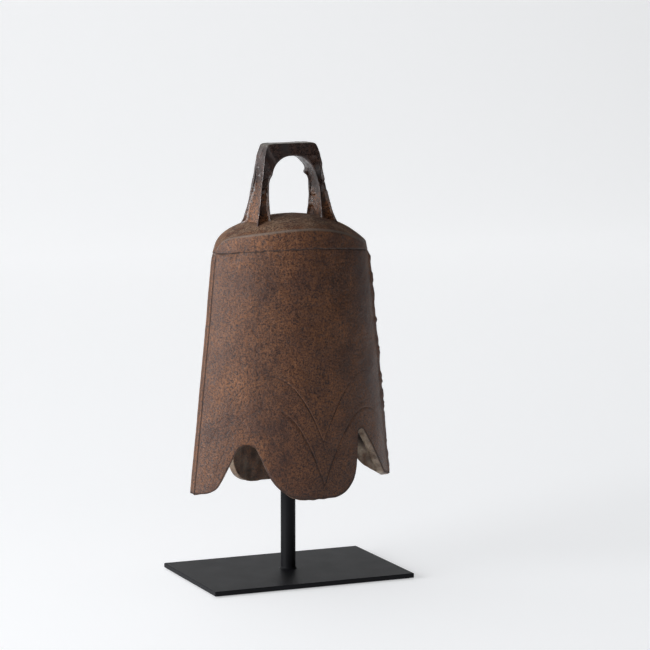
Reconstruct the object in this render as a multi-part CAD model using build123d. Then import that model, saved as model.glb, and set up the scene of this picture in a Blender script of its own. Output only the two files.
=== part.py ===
"""Iron temple bell on a museum display stand.

Frame: origin on the floor at the centre of the stand's base plate, X along the
plate's long side, Y towards the back, Z up. Millimetres.

The bell is one iron casting of pointed-oval section, open below, with a rim cut
into broad lobes between narrow arches. A separate carrying loop is cast into its
crown. The stand is a steel plate with a welded round post. The bell's crown rests
on a padded steel head that turns on the post's top spigot.
"""
import os
from math import radians, sin, tan

from build123d import *

# ---- stand: base plate and its felt ---------------------------------------------
plate_length = 227.5          # X
plate_width = 153.5           # Y
plate_thickness = 5.0
plate_edge = 0.6              # chamfer all round the upper and lower edges
felt_thickness = 1.0          # felt sheet glued under the plate
felt_inset = 4.0              # from the plate's edges

# ---- stand: post ----------------------------------------------------------------
post_diameter = 16.0
post_edge = 0.8               # chamfer at the post's top shoulder
tenon_diameter = 12.0         # turned end that fills the hole in the plate
weld_leg = 2.2                # concave bead round the post's foot
spigot_diameter = 10.0        # turned pin that the head turns on
spigot_length = 16.0
spigot_edge = 0.8

# ---- turning head ---------------------------------------------------------------
washer_thickness = 1.0        # bronze thrust washer on the post's shoulder
washer_clearance = 0.2        # radial, round the spigot
swivel_clearance = 0.05       # radial, head's socket on the spigot
socket_end_gap = 1.5          # above the spigot's end
hub_diameter = 22.0
hub_height = 17.0             # below the flange
flange_diameter = 46.0
flange_thickness = 5.0
head_edge = 0.8
pad_thickness = 3.0           # felt between the head and the bell

# ---- bell: pointed-oval wall ----------------------------------------------------
rim_reference_z = 90.0        # level at which the lower section is given
top_reference_drop = 44.0     # level below the crown's top of the upper section
lower_half_width = 121.0      # centre to seam, lower section
upper_half_width = 90.5
lower_half_depth = 66.0       # centre to front or back, lower section
upper_half_depth = 57.0
seam_flat = 8.0               # width of the flat strip along each seam
wall = 7.0                    # front and back wall
seam_wall = 10.0              # wall at the seams, across the flat strip
inner_seam_flat = 12.0        # flat at the inside of each seam

# ---- bell: crown ----------------------------------------------------------------
crown_top_z = 389.0
crown_radius = 134.0          # outside of the domed crown
crown_wall = 7.0
crown_edge = 2.0              # worn round between crown and wall
seat_diameter = 54.0          # flat boss inside the crown that sits on the pad
seat_drop = 16.0              # its underside, below the crown's top

# ---- bell: scalloped rim, right half of the outline, corners before rounding ------
lobe_low_z = 91.5             # bottom of the middle lobes
lobe_half_width = 44.6
lobe_round = 38.0
arch_x, arch_z, arch_round = 63.0, 165.5, 7.5
side_lobe_x, side_lobe_z, side_lobe_round = 104.0, 101.0, 15.0
tip_z = 96.8                  # rim at the seams

# ---- bell: place on its post ----------------------------------------------------
bell_turn = 4.2               # degrees about the post, as displayed
bell_shift = 3.5              # along the bell's own width, off the post's axis

# ---- carrying loop --------------------------------------------------------------
loop_height = 75.0            # above the crown's top
loop_top_half_width = 30.5
loop_leg_height = 3.0         # where the legs start to flare, above the crown's top
loop_leg_half_width = 43.0
loop_foot_drop = 17.0         # outer ends of the feet, below the crown's top
loop_foot_half_width = 49.5
loop_top_half_depth = 9.5
loop_waist_height = 24.0      # where the legs' depth is given, above the crown's top
loop_waist_half_depth = 14.0
loop_foot_half_depth = 22.5
loop_corner = 5.0             # rounding of the top corners
eye_half_width = 32.5
eye_spring_height = 11.0      # the eye is a half ellipse above this, from the crown's top
eye_height = 61.0             # top of the eye, above the crown's top
loop_sink = 4.0               # depth of the feet in the crown's iron

# ---- levels that follow -----------------------------------------------------------
plate_bottom_z = felt_thickness
plate_top_z = plate_bottom_z + plate_thickness
seat_z = crown_top_z - seat_drop
pad_bottom_z = seat_z - pad_thickness
hub_top_z = pad_bottom_z - flange_thickness
hub_bottom_z = hub_top_z - hub_height
shoulder_z = hub_bottom_z - washer_thickness
spigot_top_z = shoulder_z + spigot_length
crown_centre_z = crown_top_z - crown_radius
top_reference_z = crown_top_z - top_reference_drop
loop_top_z = crown_top_z + loop_height
loop_leg_z = crown_top_z + loop_leg_height
loop_waist_z = crown_top_z + loop_waist_height
loop_foot_z = crown_top_z - loop_foot_drop
eye_spring_z = crown_top_z + eye_spring_height
eye_top_z = crown_top_z + eye_height


def rod(diameter: float, z_low: float, z_high: float) -> Part:
    """A plain cylinder on the post's axis between two levels."""
    return Pos(0, 0, z_low) * extrude(Circle(diameter / 2), z_high - z_low)


def base_plate() -> Part:
    """The black steel plate with the hole for the post's tenon."""
    blank = Pos(0, 0, plate_bottom_z) * extrude(
        Rectangle(plate_length, plate_width), plate_thickness)
    blank = chamfer(blank.edges().filter_by(GeomType.LINE), plate_edge)
    return blank - rod(tenon_diameter, plate_bottom_z, plate_top_z)


def post() -> Part:
    """The round post, with a tenon below and the head's spigot on top."""
    column = rod(post_diameter, plate_top_z, shoulder_z)
    column = chamfer(column.edges().group_by(Axis.Z)[-1], post_edge)
    spigot = rod(spigot_diameter, shoulder_z, spigot_top_z)
    spigot = chamfer(spigot.edges().group_by(Axis.Z)[-1], spigot_edge)
    return rod(tenon_diameter, plate_bottom_z, plate_top_z) + column + spigot


def foot_weld() -> Part:
    """The concave weld bead in the corner between post and plate."""
    inner = post_diameter / 2
    corner = (inner, plate_top_z)
    top = (inner, plate_top_z + weld_leg)
    toe = (inner + weld_leg, plate_top_z)
    hollow = 0.38 * weld_leg
    middle = (inner + hollow, plate_top_z + hollow)
    bead = make_face([Line(corner, toe), ThreePointArc(toe, middle, top), Line(top, corner)])
    return revolve(Plane.XZ * bead, Axis.Z)


def base_felt() -> Part:
    """The felt sheet under the plate, a little smaller than the plate."""
    sheet = Rectangle(plate_length - 2 * felt_inset, plate_width - 2 * felt_inset)
    return extrude(sheet, felt_thickness)


def thrust_washer() -> Part:
    """The thin bronze ring between the post's shoulder and the head's hub."""
    ring_outer = post_diameter - 2 * post_edge
    ring_inner = spigot_diameter + 2 * washer_clearance
    return rod(ring_outer, shoulder_z, hub_bottom_z) - rod(ring_inner, shoulder_z, hub_bottom_z)


def support_head() -> Part:
    """The hub and flange that carry the bell, with a blind socket below."""
    hub = rod(hub_diameter, hub_bottom_z, hub_top_z)
    hub = chamfer(hub.edges().group_by(Axis.Z)[0], head_edge)
    flange = rod(flange_diameter, hub_top_z, pad_bottom_z)
    flange = chamfer(flange.edges(), head_edge)
    socket = rod(spigot_diameter + 2 * swivel_clearance, hub_bottom_z,
                 spigot_top_z + socket_end_gap)
    return hub + flange - socket


def head_pad() -> Part:
    """The felt disc glued to the head."""
    return rod(flange_diameter - 2 * head_edge, pad_bottom_z, seat_z)


def placed(shape: Part) -> Part:
    """Moves a piece from the bell's own frame to its place on the stand."""
    return Rot(0, 0, bell_turn) * Pos(bell_shift, 0, 0) * shape


def at_level(lower: float, upper: float, z: float) -> float:
    """A wall size at level z, straight between the two reference levels."""
    share = (z - rim_reference_z) / (top_reference_z - rim_reference_z)
    return lower + (upper - lower) * share


def oval(half_width: float, half_depth: float, flat: float) -> Face:
    """A pointed oval: two arcs that meet in a short flat at each seam."""
    half_flat = flat / 2
    front = ThreePointArc((-half_width, -half_flat), (0, -half_depth), (half_width, -half_flat))
    back = ThreePointArc((half_width, half_flat), (0, half_depth), (-half_width, half_flat))
    right = Line((half_width, -half_flat), (half_width, half_flat))
    left = Line((-half_width, half_flat), (-half_width, -half_flat))
    return make_face([front, right, back, left])


def wall_body(side_inset: float, face_inset: float, flat: float) -> Part:
    """The tapering oval body, with the given inset from the outer surface."""
    levels = (lobe_low_z - 2 * wall, crown_top_z)
    sections = [Pos(0, 0, z) * oval(at_level(lower_half_width, upper_half_width, z) - side_inset,
                                    at_level(lower_half_depth, upper_half_depth, z) - face_inset,
                                    flat)
                for z in levels]
    return loft(sections, ruled=True)


def rounded_corner(before: Vector, corner: Vector, after: Vector, radius: float):
    """The arc that rounds one corner, with its two end points."""
    to_before = (before - corner).normalized()
    to_after = (after - corner).normalized()
    half_angle = radians(to_before.get_angle(to_after)) / 2
    reach = radius / tan(half_angle)
    start = corner + to_before * reach
    end = corner + to_after * reach
    axis = (to_before + to_after).normalized()
    middle = corner + axis * (radius / sin(half_angle) - radius)
    return start, end, ThreePointArc(start, middle, end)


def rim_region() -> Part:
    """The block above the scalloped rim line, which the wall is cut to."""
    outer_x = lower_half_width + wall
    half = [(0, lobe_low_z, 0), (lobe_half_width, lobe_low_z, lobe_round),
            (arch_x, arch_z, arch_round), (side_lobe_x, side_lobe_z, side_lobe_round),
            (outer_x, tip_z, 0)]
    left = [(-x, z, radius) for x, z, radius in reversed(half[1:])]
    outline = [(Vector(x, z), radius) for x, z, radius in left + half[1:]]
    pieces = []
    last = outline[0][0]
    for before, (corner, radius), after in zip(outline, outline[1:], outline[2:]):
        start, end, arc = rounded_corner(before[0], corner, after[0], radius)
        pieces += [Line(last, start), arc]
        last = end
    right_end = outline[-1][0]
    pieces += [Line(last, right_end),
               Line(right_end, (outer_x, crown_top_z + wall)),
               Line((outer_x, crown_top_z + wall), (-outer_x, crown_top_z + wall)),
               Line((-outer_x, crown_top_z + wall), outline[0][0])]
    region = Plane.XZ * make_face(pieces)
    return extrude(region, 2 * lower_half_depth, both=True)


def crown_region(inset: float) -> Part:
    """A domed column whose top is the crown, with an inset for the inside."""
    radius = crown_radius - inset
    return rod(2 * radius, 0, crown_centre_z) + Pos(0, 0, crown_centre_z) * Sphere(radius)


def loop_blank() -> Part:
    """The carrying loop before its feet are cut to the crown."""
    top_z, leg_z, foot_z = loop_top_z, loop_leg_z, loop_foot_z - loop_sink
    right = [Line((loop_top_half_width, top_z), (loop_leg_half_width, leg_z)),
             Line((loop_leg_half_width, leg_z), (loop_foot_half_width, loop_foot_z)),
             Line((loop_foot_half_width, loop_foot_z), (loop_foot_half_width, foot_z))]
    left = [mirror(edge, Plane.YZ) for edge in right]
    level = [Line((-loop_top_half_width, top_z), (loop_top_half_width, top_z)),
             Line((-loop_foot_half_width, foot_z), (loop_foot_half_width, foot_z))]
    front = extrude(Plane.XZ * make_face(right + left + level), 2 * loop_foot_half_depth, both=True)
    corners = front.edges().filter_by(Axis.Y).group_by(Axis.Z)[-1]
    front = fillet(corners, loop_corner)

    flare = ThreePointArc((loop_top_half_depth, top_z), (loop_waist_half_depth, loop_waist_z),
                          (loop_foot_half_depth, loop_foot_z))
    skirt = Line((loop_foot_half_depth, loop_foot_z), (loop_foot_half_depth, foot_z))
    caps = [Line((-loop_top_half_depth, top_z), (loop_top_half_depth, top_z)),
            Line((-loop_foot_half_depth, foot_z), (loop_foot_half_depth, foot_z))]
    edges = [flare, skirt, mirror(flare, Plane.YZ), mirror(skirt, Plane.YZ)] + caps
    side = extrude(Plane.YZ * make_face(edges), 2 * loop_foot_half_width, both=True)

    arch = EllipticalCenterArc((0, eye_spring_z), eye_half_width, eye_top_z - eye_spring_z,
                               start_angle=0, arc_size=180)
    jambs = [Line((eye_half_width, eye_spring_z), (eye_half_width, foot_z)),
             Line((eye_half_width, foot_z), (-eye_half_width, foot_z)),
             Line((-eye_half_width, foot_z), (-eye_half_width, eye_spring_z))]
    eye = extrude(Plane.XZ * make_face([arch] + jambs), 3 * loop_foot_half_depth, both=True)
    return (front & side) - eye


def suspension_loop() -> Part:
    """The carrying loop, its two feet sunk into the crown."""
    return loop_blank() - crown_region(loop_sink)


def bell_casting() -> Part:
    """The bell: tapering wall, domed crown, inner seat and scalloped rim."""
    outside = wall_body(0, 0, seam_flat) & crown_region(0)
    creases = outside.edges().filter_by(lambda edge: edge.center().Z > top_reference_z
                                        and edge.geom_type != GeomType.LINE)
    outside = fillet(creases, crown_edge)
    inside = wall_body(seam_wall, wall, inner_seam_flat) & crown_region(crown_wall)
    seat = Pos(-bell_shift, 0, 0) * rod(seat_diameter, seat_z, crown_top_z)
    shell = (outside - (inside - seat)) & rim_region()
    return shell - suspension_loop()


nodes = {
    "base_plate": base_plate,
    "post": post,
    "foot_weld": foot_weld,
    "base_felt": base_felt,
    "thrust_washer": thrust_washer,
    "support_head": support_head,
    "head_pad": head_pad,
    "bell_casting": lambda: placed(bell_casting()),
    "suspension_loop": lambda: placed(suspension_loop()),
}

os.makedirs("parts", exist_ok=True)
for name, build_node in nodes.items():
    export_step(build_node(), f"parts/{name}.step")
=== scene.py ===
"""A rusted iron temple bell on its black display stand, with its studio."""
import logging
from dataclasses import dataclass, field
from enum import Enum
from math import radians

import bpy
import numpy as np
from mathutils import Matrix, Vector


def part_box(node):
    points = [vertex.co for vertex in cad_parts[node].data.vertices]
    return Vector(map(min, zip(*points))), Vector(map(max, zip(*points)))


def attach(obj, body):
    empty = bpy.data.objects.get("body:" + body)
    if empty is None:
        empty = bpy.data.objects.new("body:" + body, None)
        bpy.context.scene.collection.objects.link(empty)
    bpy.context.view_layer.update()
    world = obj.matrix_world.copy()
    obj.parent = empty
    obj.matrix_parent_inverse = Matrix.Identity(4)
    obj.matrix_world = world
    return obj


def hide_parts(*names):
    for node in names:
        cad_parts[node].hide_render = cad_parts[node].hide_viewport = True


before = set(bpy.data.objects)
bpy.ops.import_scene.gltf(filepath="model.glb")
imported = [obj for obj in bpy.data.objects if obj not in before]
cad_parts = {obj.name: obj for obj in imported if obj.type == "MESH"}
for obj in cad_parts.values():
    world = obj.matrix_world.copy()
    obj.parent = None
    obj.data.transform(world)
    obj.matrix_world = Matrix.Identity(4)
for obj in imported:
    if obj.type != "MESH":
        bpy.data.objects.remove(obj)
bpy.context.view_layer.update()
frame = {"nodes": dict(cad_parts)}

SUBSTITUTIONS = 12  # rounds of repeated substitution that settle a level on the bell
log = logging.getLogger("temple_bell")
Colour = tuple[float, float, float]
Place = tuple[float, float, float]


class Tone(Enum):
    """Names of the point attributes that carry a surface's wear, dirt, rust and bare iron, and its
    painted shade and painted highlights.
    """

    WEAR_AND_HIGHLIGHT = "wear_and_highlight"
    DARK = "shade_and_grime"
    RUSTY = "rusty"
    BARE = "bare"


# ---------------------------------------------------------------------------------
# Mesh helpers
# ---------------------------------------------------------------------------------
@dataclass
class Surface:
    """A grid of points with its tones.

    Attributes:
        points: Array of rows x columns x 3, in metres.
        tones: Masks of the same rows x columns, from 0 to 1. A tone left out is 0.
    """

    points: np.ndarray
    tones: dict[Tone, np.ndarray] = field(default_factory=dict)

    def tone(self, tone: Tone) -> np.ndarray:
        """The tone's mask, or zeros where the surface has none."""
        return self.tones.get(tone, np.zeros(self.points.shape[:2]))


def grid_faces(rows: int, columns: int, start: int = 0) -> np.ndarray:
    """Quads of a grid that closes on itself along its columns.

    Args:
        rows: Number of rows of points.
        columns: Number of points in each row.
        start: Index of the grid's first point.

    Returns:
        Array of quads; they face outwards where columns run anticlockwise and rows go up.
    """
    index = start + np.arange(rows * columns).reshape(rows, columns)
    ahead = np.roll(index, -1, axis=1)
    return np.stack([index[:-1], ahead[:-1], ahead[1:], index[1:]], axis=-1).reshape(-1, 4)


def cap_faces(ring: np.ndarray, centre: int, flip: bool) -> np.ndarray:
    """Triangles from a closed ring of point indices to a centre point.

    Args:
        ring: Indices round the ring.
        centre: Index of the middle point.
        flip: True where the fan faces the other way.

    Returns:
        Array of triangles.
    """
    ahead = np.roll(ring, -1)
    middle = np.full_like(ring, centre)
    fan = np.stack([ring, ahead, middle], axis=-1)
    return fan[:, ::-1] if flip else fan


def closed_tube(surface: Surface) -> tuple[np.ndarray, np.ndarray, np.ndarray]:
    """Closes a grid's first and last rows with fans to their mean points.

    Args:
        surface: The grid, with rows that are closed rings.

    Returns:
        Points, quads and triangles.
    """
    rows, columns = surface.points.shape[:2]
    points = surface.points.reshape(-1, 3)
    ends = np.stack([surface.points[0].mean(axis=0), surface.points[-1].mean(axis=0)])
    first = np.arange(columns)
    last = first + (rows - 1) * columns
    below = cap_faces(first, len(points), flip=True)
    above = cap_faces(last, len(points) + 1, flip=False)
    return np.concatenate([points, ends]), grid_faces(rows, columns), np.concatenate([below, above])


def build_object(name: str, points: np.ndarray, quads: np.ndarray, triangles: np.ndarray,
                 tones: dict[Tone, np.ndarray] | None = None) -> bpy.types.Object:
    """Makes a smooth-shaded mesh object from arrays.

    Args:
        name: The piece's name.
        points: Array of n x 3 places in metres.
        quads: Array of four-sided faces.
        triangles: Array of three-sided faces, or an empty array.
        tones: Point masks by tone, n values each.

    Returns:
        The new object, linked to the scene.
    """
    mesh = bpy.data.meshes.new(name)
    corners = np.concatenate([quads.ravel(), triangles.ravel()]).astype(np.int32)
    sizes = np.concatenate([np.full(len(quads), 4), np.full(len(triangles), 3)])
    starts = (np.cumsum(sizes) - sizes).astype(np.int32)
    mesh.vertices.add(len(points))
    mesh.loops.add(len(corners))
    mesh.polygons.add(len(sizes))
    mesh.vertices.foreach_set("co", points.astype(np.float32).ravel())
    mesh.loops.foreach_set("vertex_index", corners)
    mesh.polygons.foreach_set("loop_start", starts)
    mesh.polygons.foreach_set("use_smooth", np.ones(len(sizes), dtype=bool))
    for tone in Tone:
        values = (tones or {}).get(tone, np.zeros(len(points)))
        layer = mesh.attributes.new(tone.value, "FLOAT", "POINT")
        layer.data.foreach_set("value", np.clip(values, 0, 1).astype(np.float32))
    mesh.update()
    mesh.validate()
    piece = bpy.data.objects.new(name, mesh)
    bpy.context.scene.collection.objects.link(piece)
    return piece


def lattice_noise(points: np.ndarray, cell: float, seed: int) -> np.ndarray:
    """A smooth random field from -1 to 1.

    Random values stand on a cubic lattice and are blended between its corners with
    the smooth step 3t^2 - 2t^3 along each axis.

    Args:
        points: Places, with x, y, z last.
        cell: Lattice spacing in metres.
        seed: Seed of the random values.

    Returns:
        One value for each place.
    """
    count = 32
    values = np.random.default_rng(seed).uniform(-1, 1, (count, count, count))
    scaled = points / cell + 1000.0
    base = np.floor(scaled).astype(int)
    part = scaled - base
    part = part * part * (3 - 2 * part)
    result = np.zeros(points.shape[:-1])
    for corner in np.ndindex(2, 2, 2):
        step = np.array(corner)
        index = (base + step) % count
        weight = np.where(step == 1, part, 1 - part).prod(axis=-1)
        result += weight * values[index[..., 0], index[..., 1], index[..., 2]]
    return result


@dataclass(frozen=True)
class Grain:
    """One layer of random relief: its strength, its lattice spacing and its seed."""

    strength: float
    cell: float
    seed: int


def random_relief(points: np.ndarray, *layers: Grain) -> np.ndarray:
    """Sum of smooth random fields, each times its own strength."""
    return sum(layer.strength * lattice_noise(points, layer.cell, layer.seed) for layer in layers)


def outward(points: np.ndarray) -> np.ndarray:
    """Unit normals of a grid closed along its columns: column step x row step."""
    along = np.roll(points, -1, axis=1) - np.roll(points, 1, axis=1)
    up = np.gradient(points, axis=0)
    normal = np.cross(along, up)
    length = np.linalg.norm(normal, axis=-1, keepdims=True)
    return normal / np.maximum(length, 1e-12)


def bump(distance: np.ndarray, width: float) -> np.ndarray:
    """A bell curve of height 1 that falls off over the given width."""
    return np.exp(-(distance / width) ** 2)


def smooth_step(value: np.ndarray, low: float, high: float) -> np.ndarray:
    """0 below low, 1 above high and 3t^2 - 2t^3 between them."""
    share = np.clip((value - low) / (high - low), 0, 1)
    return share * share * (3 - 2 * share)


# ---------------------------------------------------------------------------------
# Bell
# ---------------------------------------------------------------------------------
@dataclass(frozen=True)
class Corner:
    """A corner of the rim line and the radius that rounds it, in metres."""

    x: float
    z: float
    radius: float = 0.0


@dataclass(frozen=True)
class RimLine:
    """The rim of one face of the bell, from its left seam to its right seam."""

    corners: tuple[Corner, ...]

    def height(self, x: np.ndarray) -> np.ndarray:
        """Height of the rim at x.

        Straight runs join the corners, and a circle that touches both runs
        replaces each corner between its touching points.

        Args:
            x: Places along the bell's width.

        Returns:
            Rim levels.
        """
        places = np.array([(corner.x, corner.z) for corner in self.corners])
        level = np.interp(x, places[:, 0], places[:, 1])
        for before, corner, after in zip(self.corners, self.corners[1:], self.corners[2:]):
            if corner.radius == 0.0:
                continue
            middle = np.array([corner.x, corner.z])
            to_before = np.array([before.x, before.z]) - middle
            to_after = np.array([after.x, after.z]) - middle
            to_before /= np.linalg.norm(to_before)
            to_after /= np.linalg.norm(to_after)
            half = np.arccos(to_before @ to_after) / 2
            start = middle + to_before * corner.radius / np.tan(half)
            end = middle + to_after * corner.radius / np.tan(half)
            axis = (to_before + to_after) / np.linalg.norm(to_before + to_after)
            centre = middle + axis * corner.radius / np.sin(half)
            side = np.sign(corner.z - centre[1])
            sagitta = np.sqrt(np.maximum(corner.radius ** 2 - (x - centre[0]) ** 2, 0))
            rounded = (x > start[0]) & (x < end[0])
            level = np.where(rounded, centre[1] + side * sagitta, level)
        return level


@dataclass(frozen=True)
class PetalLine:
    """An incised line of nested petals on one face.

    It falls from an apex on each side to a point in the middle as a parabola, and
    beyond each apex as a power curve towards the seam.
    """

    centre: float
    reach: float
    left_apex: float
    right_apex: float
    point: float
    fall: float
    fall_span: float
    power: float
    lowest: float = 0.085

    def height(self, x: np.ndarray) -> np.ndarray:
        """Level of the line at x."""
        away = np.abs(x - self.centre)
        apex = np.where(x < self.centre, self.left_apex, self.right_apex)
        inner = apex - (apex - self.point) * (1 - away / self.reach) ** 2
        beyond = np.maximum(away - self.reach, 0) / self.fall_span
        level = np.where(away < self.reach, inner, apex - self.fall * beyond ** self.power)
        return np.maximum(level, self.lowest)


@dataclass
class Columns:
    """The columns of the wall's grid, once round the bell.

    Attributes:
        turn: Share of the way from the middle of a face to its seam, -1 to 1.
        face: -1 on the front, 1 on the back.
        strip: -1 or 1 on the left or right seam strip, 0 elsewhere.
        across: Place across a seam strip, -1 at the front to 1 at the back.
        to_seam: Distance from the strip's edge along the face, in metres.
    """

    turn: np.ndarray
    face: np.ndarray
    strip: np.ndarray
    across: np.ndarray
    to_seam: np.ndarray


@dataclass(frozen=True)
class Lump:
    """A blob of iron left on the wall by the mould."""

    x: float
    z: float
    width: float
    height: float


@dataclass
class BellCasting:
    """The bell: a pointed-oval wall under a domed crown, in its own middle plane.

    All sizes are in metres. The wall's section is two circular arcs that meet in a
    flat strip at each seam, and its width and depth change evenly with height.
    """

    rim_level: float = 0.090
    top_level: float = 0.345
    lower_half_width: float = 0.1178
    upper_half_width: float = 0.0908
    lower_half_depth: float = 0.0655
    upper_half_depth: float = 0.0565
    seam_flat: float = 0.008
    wall: float = 0.007
    seam_wall: float = 0.0095
    inner_flat: float = 0.012
    crown_top: float = 0.3888
    crown_radius: float = 0.134
    crown_wall: float = 0.007
    left_lean: float = 0.012
    right_lean: float = -0.020
    crease_top: float = 0.3768
    crease_middle: float = -0.011
    crease_left_bend: float = 1.9
    crease_right_bend: float = 2.35
    crown_narrowing: float = 0.0014
    narrowing_levels: tuple[float, float] = (0.343, 0.352)
    dome_depth_level: float = 0.370
    dome_overhang: float = 0.004
    dome_least_reach: float = 0.010
    right_fin: float = 0.0022
    fin_share: tuple[float, float] = (0.955, 0.995)
    fin_growth_levels: tuple[float, float] = (0.13, 0.20)
    fin_growth: float = 0.65
    fin_end: float = 0.009
    left_end_round: float = 0.010
    right_end_round: float = 0.0045
    crease_round: float = 0.0022
    seat_radius: float = 0.027
    turn_degrees: float = 4.2
    shift: float = 0.0035
    cut_round: float = 0.0009
    cut_slope: float = 0.014
    groove_half_width: float = 0.0008
    groove_depth: float = 0.00050
    mould_middle: float = 0.3562
    mould_centre: float = -0.012
    mould_drop: float = 0.0075
    mould_span: float = 0.088
    mould_proud: float = 0.0005
    mould_half_band: float = 0.0016
    mould_lip: float = 0.0002
    crevice_depth: float = 0.0004
    seam_gap_depth: float = 0.00055
    seam_gap_place: float = 0.0013
    seam_gap_width: float = 0.0007
    flash_height: float = 0.0008
    left_flash_share: float = 0.6
    face_arc: float = 0.136
    edge_run: float = 0.0044
    edge_count: int = 9
    face_count: int = 84
    strip_count: int = 13
    crease_inset: float = 0.0030
    crease_count: int = 6
    crown_count: int = 46
    inner_count: int = 30
    under_count: int = 22
    mould_wander: Grain = Grain(0.0005, 0.006, 11)
    wall_grain: tuple[Grain, ...] = (
        Grain(0.00040, 0.028, 1), Grain(0.00020, 0.009, 2), Grain(0.00010, 0.0032, 3))
    crown_grain: tuple[Grain, ...] = (
        Grain(0.00040, 0.028, 1), Grain(0.00025, 0.009, 2), Grain(0.00012, 0.0032, 3))
    inner_grain: tuple[Grain, ...] = (Grain(0.0005, 0.016, 31), Grain(0.0003, 0.006, 32))
    notch_grain: tuple[Grain, ...] = (Grain(1.0, 0.013, 23), Grain(0.6, 0.0055, 24))
    flash_grain: tuple[Grain, ...] = (Grain(1.3, 0.0065, 21), Grain(0.7, 0.0036, 22))
    front_rim: RimLine = RimLine((
        Corner(-0.1255, 0.1030), Corner(-0.1185, 0.0965, 0.004), Corner(-0.1014, 0.0985, 0.016),
        Corner(-0.0723, 0.1665, 0.0097), Corner(-0.0430, 0.0918, 0.045),
        Corner(0.0492, 0.0918, 0.033), Corner(0.0550, 0.1699, 0.0055),
        Corner(0.1020, 0.1050, 0.012), Corner(0.1185, 0.0985, 0.003), Corner(0.1255, 0.1010)))
    back_rim: RimLine = RimLine((
        Corner(-0.1255, 0.1030), Corner(-0.1185, 0.0965, 0.004), Corner(-0.1020, 0.1000, 0.014),
        Corner(-0.0600, 0.1650, 0.0080), Corner(-0.0425, 0.0925, 0.030),
        Corner(0.0440, 0.0925, 0.040), Corner(0.0640, 0.1640, 0.0080),
        Corner(0.0960, 0.1190, 0.010), Corner(0.1060, 0.1070, 0.020),
        Corner(0.1185, 0.0985, 0.003), Corner(0.1255, 0.1010)))
    inner_petal: PetalLine = PetalLine(0.0075, 0.057, 0.190, 0.182, 0.105, 0.056, 0.046, 2.6)
    outer_petal: PetalLine = PetalLine(0.0070, 0.058, 0.224, 0.222, 0.151, 0.068, 0.050, 2.2)
    lumps: tuple[Lump, ...] = (
        Lump(-0.0800, 0.3478, 0.0018, 0.0016), Lump(-0.0760, 0.3492, 0.0012, 0.0010),
        Lump(-0.0700, 0.3510, 0.0010, 0.0008), Lump(-0.0850, 0.3482, 0.0014, 0.0010),
        Lump(-0.0600, 0.3528, 0.0009, 0.0007), Lump(-0.0480, 0.3548, 0.0009, 0.0006))

    def half_width(self, z: np.ndarray) -> np.ndarray:
        """Centre to seam at level z, changing evenly with height."""
        share = (z - self.rim_level) / (self.top_level - self.rim_level)
        return self.lower_half_width + (self.upper_half_width - self.lower_half_width) * share

    def half_depth(self, z: np.ndarray) -> np.ndarray:
        """Centre to front or back at level z, changing evenly with height."""
        share = (z - self.rim_level) / (self.top_level - self.rim_level)
        return self.lower_half_depth + (self.upper_half_depth - self.lower_half_depth) * share

    def columns(self) -> Columns:
        """Places the grid's columns, closer together beside the seams.

        Returns:
            The columns, anticlockwise from the left seam along the front.
        """
        fine = np.linspace(0, self.edge_run, self.edge_count)
        coarse = np.linspace(self.edge_run, self.face_arc, self.face_count)[1:]
        half = np.concatenate([fine, coarse])
        turn_half = 1 - half / self.face_arc
        turn = np.concatenate([-turn_half[:-1], turn_half[::-1]])
        distance = np.concatenate([half[:-1], half[::-1]])
        across = np.linspace(-1, 1, self.strip_count)[1:-1]
        strip_turn = np.zeros_like(across)
        none = np.zeros_like(turn)
        return Columns(
            turn=np.concatenate([turn, strip_turn + 1, turn[::-1], strip_turn - 1]),
            face=np.concatenate([none - 1, strip_turn, none + 1, strip_turn]),
            strip=np.concatenate([none, strip_turn + 1, none, strip_turn - 1]),
            across=np.concatenate([none, across, none, across[::-1]]),
            to_seam=np.concatenate([distance, strip_turn, distance, strip_turn]))

    def ring(self, columns: Columns, z: np.ndarray, side_inset: float = 0.0,
             face_inset: float = 0.0, flat: float | None = None) -> np.ndarray:
        """Places of the wall's section at levels z, one for each column.

        On a face the place is on a circle through both seam edges and the face's
        middle, at an even share of the arc. On a strip it is on the flat.

        Args:
            columns: The grid's columns.
            z: Levels, with columns last.
            side_inset: How far the seams lie inside the outer wall.
            face_inset: How far the faces lie inside the outer wall.
            flat: Width of the strip, or None for the outer one.

        Returns:
            Places with x, y, z last.
        """
        flat = self.seam_flat if flat is None else flat
        narrowing = self.crown_narrowing * smooth_step(z, *self.narrowing_levels)
        width = self.half_width(z) - side_inset - narrowing
        rise = self.half_depth(z) - face_inset - flat / 2
        radius = (width ** 2 + rise ** 2) / (2 * rise)
        angle = columns.turn * np.arcsin(width / radius)
        on_strip = columns.strip != 0
        x = np.where(on_strip, columns.strip * width, radius * np.sin(angle))
        depth = flat / 2 + radius * np.cos(angle) - (radius - rise)
        y = np.where(on_strip, columns.across * flat / 2, columns.face * depth)
        return np.stack([x, y, np.broadcast_to(z, x.shape)], axis=-1)

    def on_line(self, columns: Columns, front: RimLine | PetalLine,
                back: RimLine | PetalLine) -> np.ndarray:
        """Level at which each column meets a line drawn on the faces.

        The line is a function of x, and x depends on the level, so the level is
        found by repeated substitution. A strip blends the two faces' levels.

        Args:
            columns: The grid's columns.
            front: The line on the front.
            back: The line on the back.

        Returns:
            One level for each column.
        """
        level = np.full(columns.turn.shape, 0.15)
        share = np.where(columns.strip != 0, (columns.across + 1) / 2, (columns.face + 1) / 2)
        for _ in range(SUBSTITUTIONS):
            x = self.ring(columns, level)[..., 0]
            level = (1 - share) * front.height(x) + share * back.height(x)
        return level

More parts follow.
